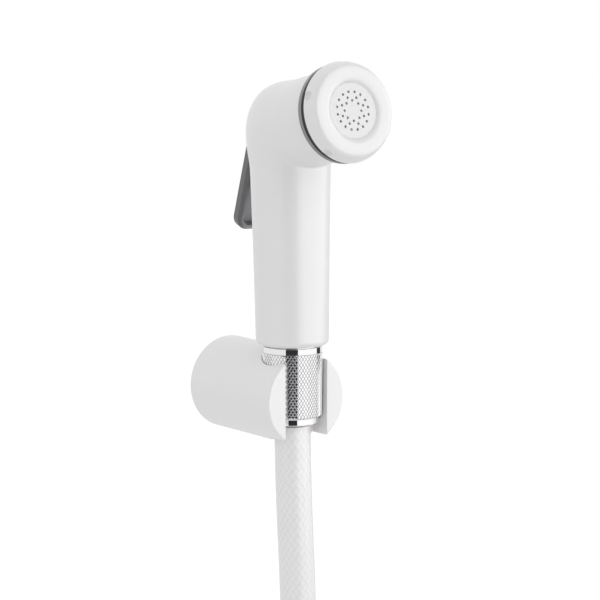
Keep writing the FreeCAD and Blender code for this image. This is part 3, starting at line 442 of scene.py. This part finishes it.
halved = add_node(braided_yarn, "ShaderNodeMath", {"operation": "MULTIPLY"}, i0=crossing, i1=0.5)
over = add_node(braided_yarn, "ShaderNodeMath", {"operation": "FRACT"}, i0=halved)
which = add_node(braided_yarn, "ShaderNodeMath", {"operation": "MULTIPLY"}, i0=over, i1=2.0)
braid = add_node(braided_yarn, "ShaderNodeMix", {"data_type": "FLOAT"}, i0=which, i2=cushions[0],
                 i3=cushions[1])
braid_bump = add_node(braided_yarn, "ShaderNodeBump", Strength=0.45, Distance=BRAID_DEPTH,
                      Height=braid)
# Painted shade: the yarn greys where the braid's cushions fall away to their edges.
braid_painted_shade = add_node(braided_yarn, "ShaderNodeMix", {"data_type": "RGBA"}, i0=braid,
                       i6=linear("#F0EFF0"), i7=linear("#FBFAFA"))
feed(braided_yarn, shader_of(braided_yarn), Base_Color=braid_painted_shade.outputs[2], Normal=braid_bump)
hose_object = add_node(braided_yarn, "ShaderNodeTexCoord").outputs["Object"]
hose_height = add_node(braided_yarn, "ShaderNodeSeparateXYZ", Vector=hose_object).outputs["Z"]
# Painted shadow where the sheath enters the nut.
tint_where(braided_yarn, hose_height, *NUT_SHADOW_END, "#4A4A4C")
hose.data.materials.append(braided_yarn)


# Conical nut: brass, turned, knurled and chromed, screwed tight on the inlet. The grip is rolled in
# two crossing sets of grooves, which leave long diamonds with flat tops, so each diamond mirrors the
# room in one piece. The grip's foot is rounded over by a narrow ring.
KNURLS = 56
KNURL_LENGTH = 0.00219
KNURL_DEPTH = 0.0002
KNURL_STEPS = (0.0, 0.13, 0.5, 0.87)
GRIP_HEIGHTS = (-0.00735, -0.0072, -0.0068, 0.01825)
GRIP_RADII = (0.01132, 0.01150, 0.01161, 0.01190)
GRIP_LOW, GRIP_HIGH = GRIP_HEIGHTS[0], GRIP_HEIGHTS[-1]
FADE_LOW, FADE_HIGH = 0.00008, 0.0003     # the diamonds run out over these lengths at the grip's ends
FOOT_RADII = np.array((0.01132, 0.01110, 0.01080, 0.01042))[:, None]
FOOT_HEIGHTS = np.array((-0.00735, -0.00752, -0.00759, -0.00760))[:, None]
FOOT_COLUMNS = 112


def diamonds(grid):
    """What the four corners of each face of the sleeve hold in a grid over its points."""
    ahead = np.roll(grid, -1, axis=0)
    return np.stack([grid[:, 1:-1], ahead[:, 2:], ahead[:, 1:-1], grid[:, :-2]], axis=-1)


def knurled_sleeve():
    """Points where two sets of helical lines cross. Each set has a line at a groove's bottom, at its
    two edges and midway: s and t number the lines of the sets, (s + t) / 2 goes round the nut and
    (s - t) / 2 goes up it. A point lies at the grooves' depth where s or t is whole, else on top.
    Points past the grip's ends are brought back to them, and faces that lie past them are dropped."""
    steps = np.array(KNURL_STEPS)
    tall = math.ceil((GRIP_HIGH - GRIP_LOW) / KNURL_LENGTH) + 1
    p, d = np.meshgrid(np.arange(KNURLS * len(steps)), np.arange(2 * tall * len(steps)), indexing="ij")
    q = p - d
    s, t = [k // len(steps) + steps[k % len(steps)] for k in (p, q)]
    angle = (s + t) * math.pi / KNURLS
    free = GRIP_LOW + ((s - t) / 2 - 0.5) * KNURL_LENGTH
    height = np.clip(free, GRIP_LOW, GRIP_HIGH)
    top = (p % len(steps) > 0) & (q % len(steps) > 0)
    fade = (np.clip((height - GRIP_LOW) / FADE_LOW, 0, 1)
            * np.clip((GRIP_HIGH - height) / FADE_HIGH, 0, 1))
    radius = np.interp(height, GRIP_HEIGHTS, GRIP_RADII) + np.where(top, KNURL_DEPTH, 0.0) * fade
    points = np.stack([radius * np.cos(angle), SOCKET_Y + radius * np.sin(angle), height], axis=-1)
    past = np.where(free <= GRIP_LOW, -1, np.where(free >= GRIP_HIGH, 1, 0))
    inside = np.abs(diamonds(past).sum(axis=-1)) < 4
    return points.reshape(-1, 3), diamonds(np.arange(p.size).reshape(p.shape))[inside]


# Chrome plate is a clear mirror, so it shows the room's white and its dark cards.
chrome = metal("chrome_plate", "#F4F3F4", 0.05, 0.0004, 0.0000002, "Z")
finish_with(chrome, "conical_nut", "end_nut")
# The plate over the knurling is as clear on the diamonds, and painted shade greys it down in the
# grooves.
rolled_chrome = metal("rolled_chrome_plate", "#F4F3F4", 0.05, 0.0004, 0.0000002, "Z")
grip_place = add_node(rolled_chrome, "ShaderNodeTexCoord").outputs["Object"]
grip_arm = add_node(rolled_chrome, "ShaderNodeVectorMath", {"operation": "MULTIPLY_ADD"}, i0=grip_place,
                    i1=(1.0, 1.0, 0.0), i2=(0.0, -SOCKET_Y, 0.0))
grip_reach = add_node(rolled_chrome, "ShaderNodeVectorMath", {"operation": "LENGTH"}, i0=grip_arm)
grip_height = add_node(rolled_chrome, "ShaderNodeSeparateXYZ", Vector=grip_place).outputs["Z"]
grip_root = add_node(rolled_chrome, "ShaderNodeMapRange", Value=grip_height, From_Min=GRIP_HEIGHTS[-2],
                     From_Max=GRIP_HIGH, To_Min=GRIP_RADII[-2], To_Max=GRIP_RADII[-1])
above_root = add_node(rolled_chrome, "ShaderNodeMath", {"operation": "SUBTRACT"},
                      i0=grip_reach.outputs["Value"], i1=grip_root)
# Painted shade in the grooves, full at the groove bottoms and gone at the diamonds' tops.
tint_where(rolled_chrome, above_root, 0.0, KNURL_DEPTH, "#C9C9CB")
grip_points, grip_faces = knurled_sleeve()
grip = add_mesh("nut_grip", grip_points.tolist(), grip_faces.tolist())
grip.data.materials.append(rolled_chrome)
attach(grip, ROOT)
foot_angle = np.linspace(0.0, -2 * math.pi, FOOT_COLUMNS + 1)[None, :-1]
foot_points = np.stack(np.broadcast_arrays(FOOT_RADII * np.cos(foot_angle),
                                           SOCKET_Y + FOOT_RADII * np.sin(foot_angle),
                                           FOOT_HEIGHTS), axis=-1)
foot_uv = np.stack(np.broadcast_arrays(-foot_angle * FOOT_RADII[0], FOOT_HEIGHTS), axis=-1)
grip_edge = round_piece("nut_grip_edge", foot_points, foot_uv, ROOT)
grip_edge.data.materials.append(chrome)


# Hose ends: turned brass tails pressed into the hose, the far one crimped under a polished sleeve,
# and a union nut that turns on it and whose thread shows in its open end.
THREAD_START, THREAD_END = 0.0124, 0.0181     # along the nut's axis from the hose's end
THREAD_RADIUS, THREAD_DEPTH, THREAD_PITCH = 0.01045, 0.0009, 0.001814
THREAD_SHAPE = ((0.0, 0.1, 0.45, 0.65, 1.0), (0.0, 0.0, 1.0, 1.0, 0.0))
THREAD_FADE = 0.0006
THREAD_ROWS, THREAD_COLUMNS = 64, 96


def inner_thread():
    """The nut's thread, seen from inside: the surface stands off the bore by depth times a trapezoid
    of frac(along / pitch - angle / (2 pi)), and sinks back to it over a short way at both ends."""
    along = np.linspace(THREAD_START, THREAD_END, THREAD_ROWS)[:, None]
    angle = np.linspace(0.0, -2 * math.pi, THREAD_COLUMNS + 1)[None, :-1]
    phase = (along / THREAD_PITCH - angle / (2 * math.pi)) % 1.0
    fade = np.clip(np.minimum(along - THREAD_START, THREAD_END - along) / THREAD_FADE, 0, 1)
    radius = THREAD_RADIUS - THREAD_DEPTH * np.interp(phase, *THREAD_SHAPE) * fade
    heading = np.subtract(HOSE_END[1], HOSE_END[0])
    heading /= np.linalg.norm(heading)
    side = np.cross(heading, (0.0, 1.0, 0.0))
    side /= np.linalg.norm(side)
    other = np.cross(heading, side)
    outward = np.cos(angle)[..., None] * side + np.sin(angle)[..., None] * other
    points = hose_line[-1] + along[..., None] * heading + radius[..., None] * outward
    uv = np.stack(np.broadcast_arrays(-angle * THREAD_RADIUS, along), axis=-1)
    return round_piece("end_thread", points, uv, "end_union")


# The tails' brass is warm yellow with lathe lines, the sleeve's steel a bright soft mirror.
finish_with(metal("turned_brass_tail", "#D9B66B", 0.2, 0.00012, 0.000001, "Z"),
            "hose_tail", "end_tail")
finish_with(metal("polished_steel", "#D2D3D5", 0.14, 0.0002, 0.0000006, "Z"), "end_ferrule")
thread = inner_thread()
thread.data.materials.append(chrome)

# Tie: a strap of white nylon hook-and-loop tape, wrapped round the coil's strands and pressed on
# itself. Its loops give it a dull, felted face.
finish_with(moulded("hook_and_loop_nylon", "#ECECEB", "#DADAD9", 0.8, 0.0005, 0.00012,
                    Sheen_Weight=0.3), "hose_tie")


# Studio: a sheet of white paper in a white room, with a key lamp above on the right. A wide soft box
# on the right and dark cards behind the camera, low on the right and overhead are there for the
# reflections alone. The room and the floor are brighter to camera and mirrors than to the object.
ROOM_LEVEL = 0.77
FLOOR_Z, FLOOR_HALF = -0.3205, 6
FLOOR_GLOW_SEEN, FLOOR_GLOW_MIRRORED = 0.35, 0.18
MIDDLE = Vector((0.0, SOCKET_Y, 0.05))

world = bpy.data.worlds.new("studio")
bpy.context.scene.world = world
world.use_nodes = True
sky_path = add_node(world, "ShaderNodeLightPath")
bright = add_node(world, "ShaderNodeMath", {"operation": "MAXIMUM"},
                  i0=sky_path.outputs["Is Camera Ray"], i1=sky_path.outputs["Is Glossy Ray"])
level = add_node(world, "ShaderNodeMapRange", Value=bright, To_Min=ROOM_LEVEL, To_Max=1.0)
feed(world, world.node_tree.nodes["Background"], Color=(1.0, 1.0, 1.0, 1.0), Strength=level)

floor = add_mesh("floor", [(x * FLOOR_HALF, y * FLOOR_HALF, FLOOR_Z)
                           for x, y in ((-1, -1), (1, -1), (1, 1), (-1, 1))], [(0, 1, 2, 3)])
floor_paper = surface("white_paper", Base_Color=linear("#F2F2F2"), Roughness=0.9)
floor_path = add_node(floor_paper, "ShaderNodeLightPath")
floor_mirrored = add_node(floor_paper, "ShaderNodeMath", {"operation": "MULTIPLY"},
                          i0=floor_path.outputs["Is Glossy Ray"], i1=FLOOR_GLOW_MIRRORED)
floor_glow = add_node(floor_paper, "ShaderNodeMath", {"operation": "MULTIPLY_ADD"},
                      i0=floor_path.outputs["Is Camera Ray"], i1=FLOOR_GLOW_SEEN, i2=floor_mirrored)
feed(floor_paper, shader_of(floor_paper), Emission_Color=(1.0, 1.0, 1.0, 1.0),
     Emission_Strength=floor_glow)
floor.data.materials.append(floor_paper)


def round_from_camera(degrees, distance, height):
    """Place at a distance from the handset's axis, turned to the right from the camera's side."""
    towards_camera = Vector((CAMERA_BACK.x, CAMERA_BACK.y, 0.0)).normalized()
    turned = Matrix.Rotation(math.radians(degrees), 3, "Z") @ towards_camera
    return Vector((turned.x * distance, SOCKET_Y + turned.y * distance, height))


def face_handset(thing, place, *unseen_by):
    """Puts a lamp or card at a place, turned to the handset, and hides it from kinds of rays."""
    facing = (MIDDLE - place).to_track_quat("-Z", "Y")
    thing.matrix_world = Matrix.Translation(place) @ facing.to_matrix().to_4x4()
    for ray in unseen_by:
        setattr(thing, "visible_" + ray, False)


def lamp(name, place, size, radiance, *unseen_by):
    """Area lamp. Its power is radiance times area times pi. Reflections show it on top of the white
    world behind it, so a mirror that faces it shows its radiance plus one."""
    data = bpy.data.lights.new(name, "AREA")
    data.shape = "RECTANGLE"
    data.size, data.size_y = size
    data.energy = radiance * size[0] * size[1] * math.pi
    light = bpy.data.objects.new(name, data)
    bpy.context.collection.objects.link(light)
    face_handset(light, place, *unseen_by)
    return light


def flag(name, place, size):
    """Card that only reflections see."""
    x, y = size[0] / 2, size[1] / 2
    card = add_mesh(name, [(-x, -y, 0), (x, -y, 0), (x, y, 0), (-x, y, 0)], [(0, 1, 2, 3)])
    card.data.materials.append(flag_cloth)
    face_handset(card, place, "camera", "diffuse", "shadow", "transmission", "volume_scatter")


# Velvet gives the chrome its near-black strips.
flag_cloth = surface("charcoal_velvet", Base_Color=linear("#3A3A3C"), Roughness=1.0,
                     Specular_IOR_Level=0.0)
flag("camera_flag", round_from_camera(-2.0, 0.8, 0.05), (0.68, 1.2))
flag("side_flag", round_from_camera(119.0, 0.8, -0.10), (0.37, 0.06))
flag("ceiling_flag", round_from_camera(-15.0, 0.6, 0.9), (0.9, 0.9))
lamp("key", round_from_camera(50.0, 1.6, 1.0), (1.0, 1.0), 0.5, "glossy", "camera")
softbox = lamp("softbox", round_from_camera(73.0, 0.8, 0.15), (2.05, 1.1), 2.7, "diffuse", "camera")
dimmed_softbox = lamp("dimmed_softbox", round_from_camera(63.5, 0.8, 0.15), (1.46, 1.1), 0.2,
                      "diffuse", "camera")
lever_fill = lamp("lever_fill", round_from_camera(97.0, 0.7, -0.12), (0.6, 0.38), 14.0,
                  "glossy", "camera")

# The chromed pieces mirror the soft box at its dimmed level, so that their knurling isn't burnt out.
# The fill lights the dark lever alone, from low on the right, as the bright floor there would.
chromed = (grip, grip_edge, thread, nodes["conical_nut"], nodes["end_nut"])
for light, state, lit in ((softbox, "EXCLUDE", chromed), (dimmed_softbox, "INCLUDE", chromed),
                          (lever_fill, "INCLUDE", (nodes["trigger_lever"],))):
    linked = bpy.data.collections.new(light.name + "_pieces")
    for piece in lit:
        linked.objects.link(piece)
    for member in linked.collection_objects:
        member.light_linking.link_state = state
    light.light_linking.receiver_collection = linked

bpy.context.scene.view_settings.view_transform = "Standard"
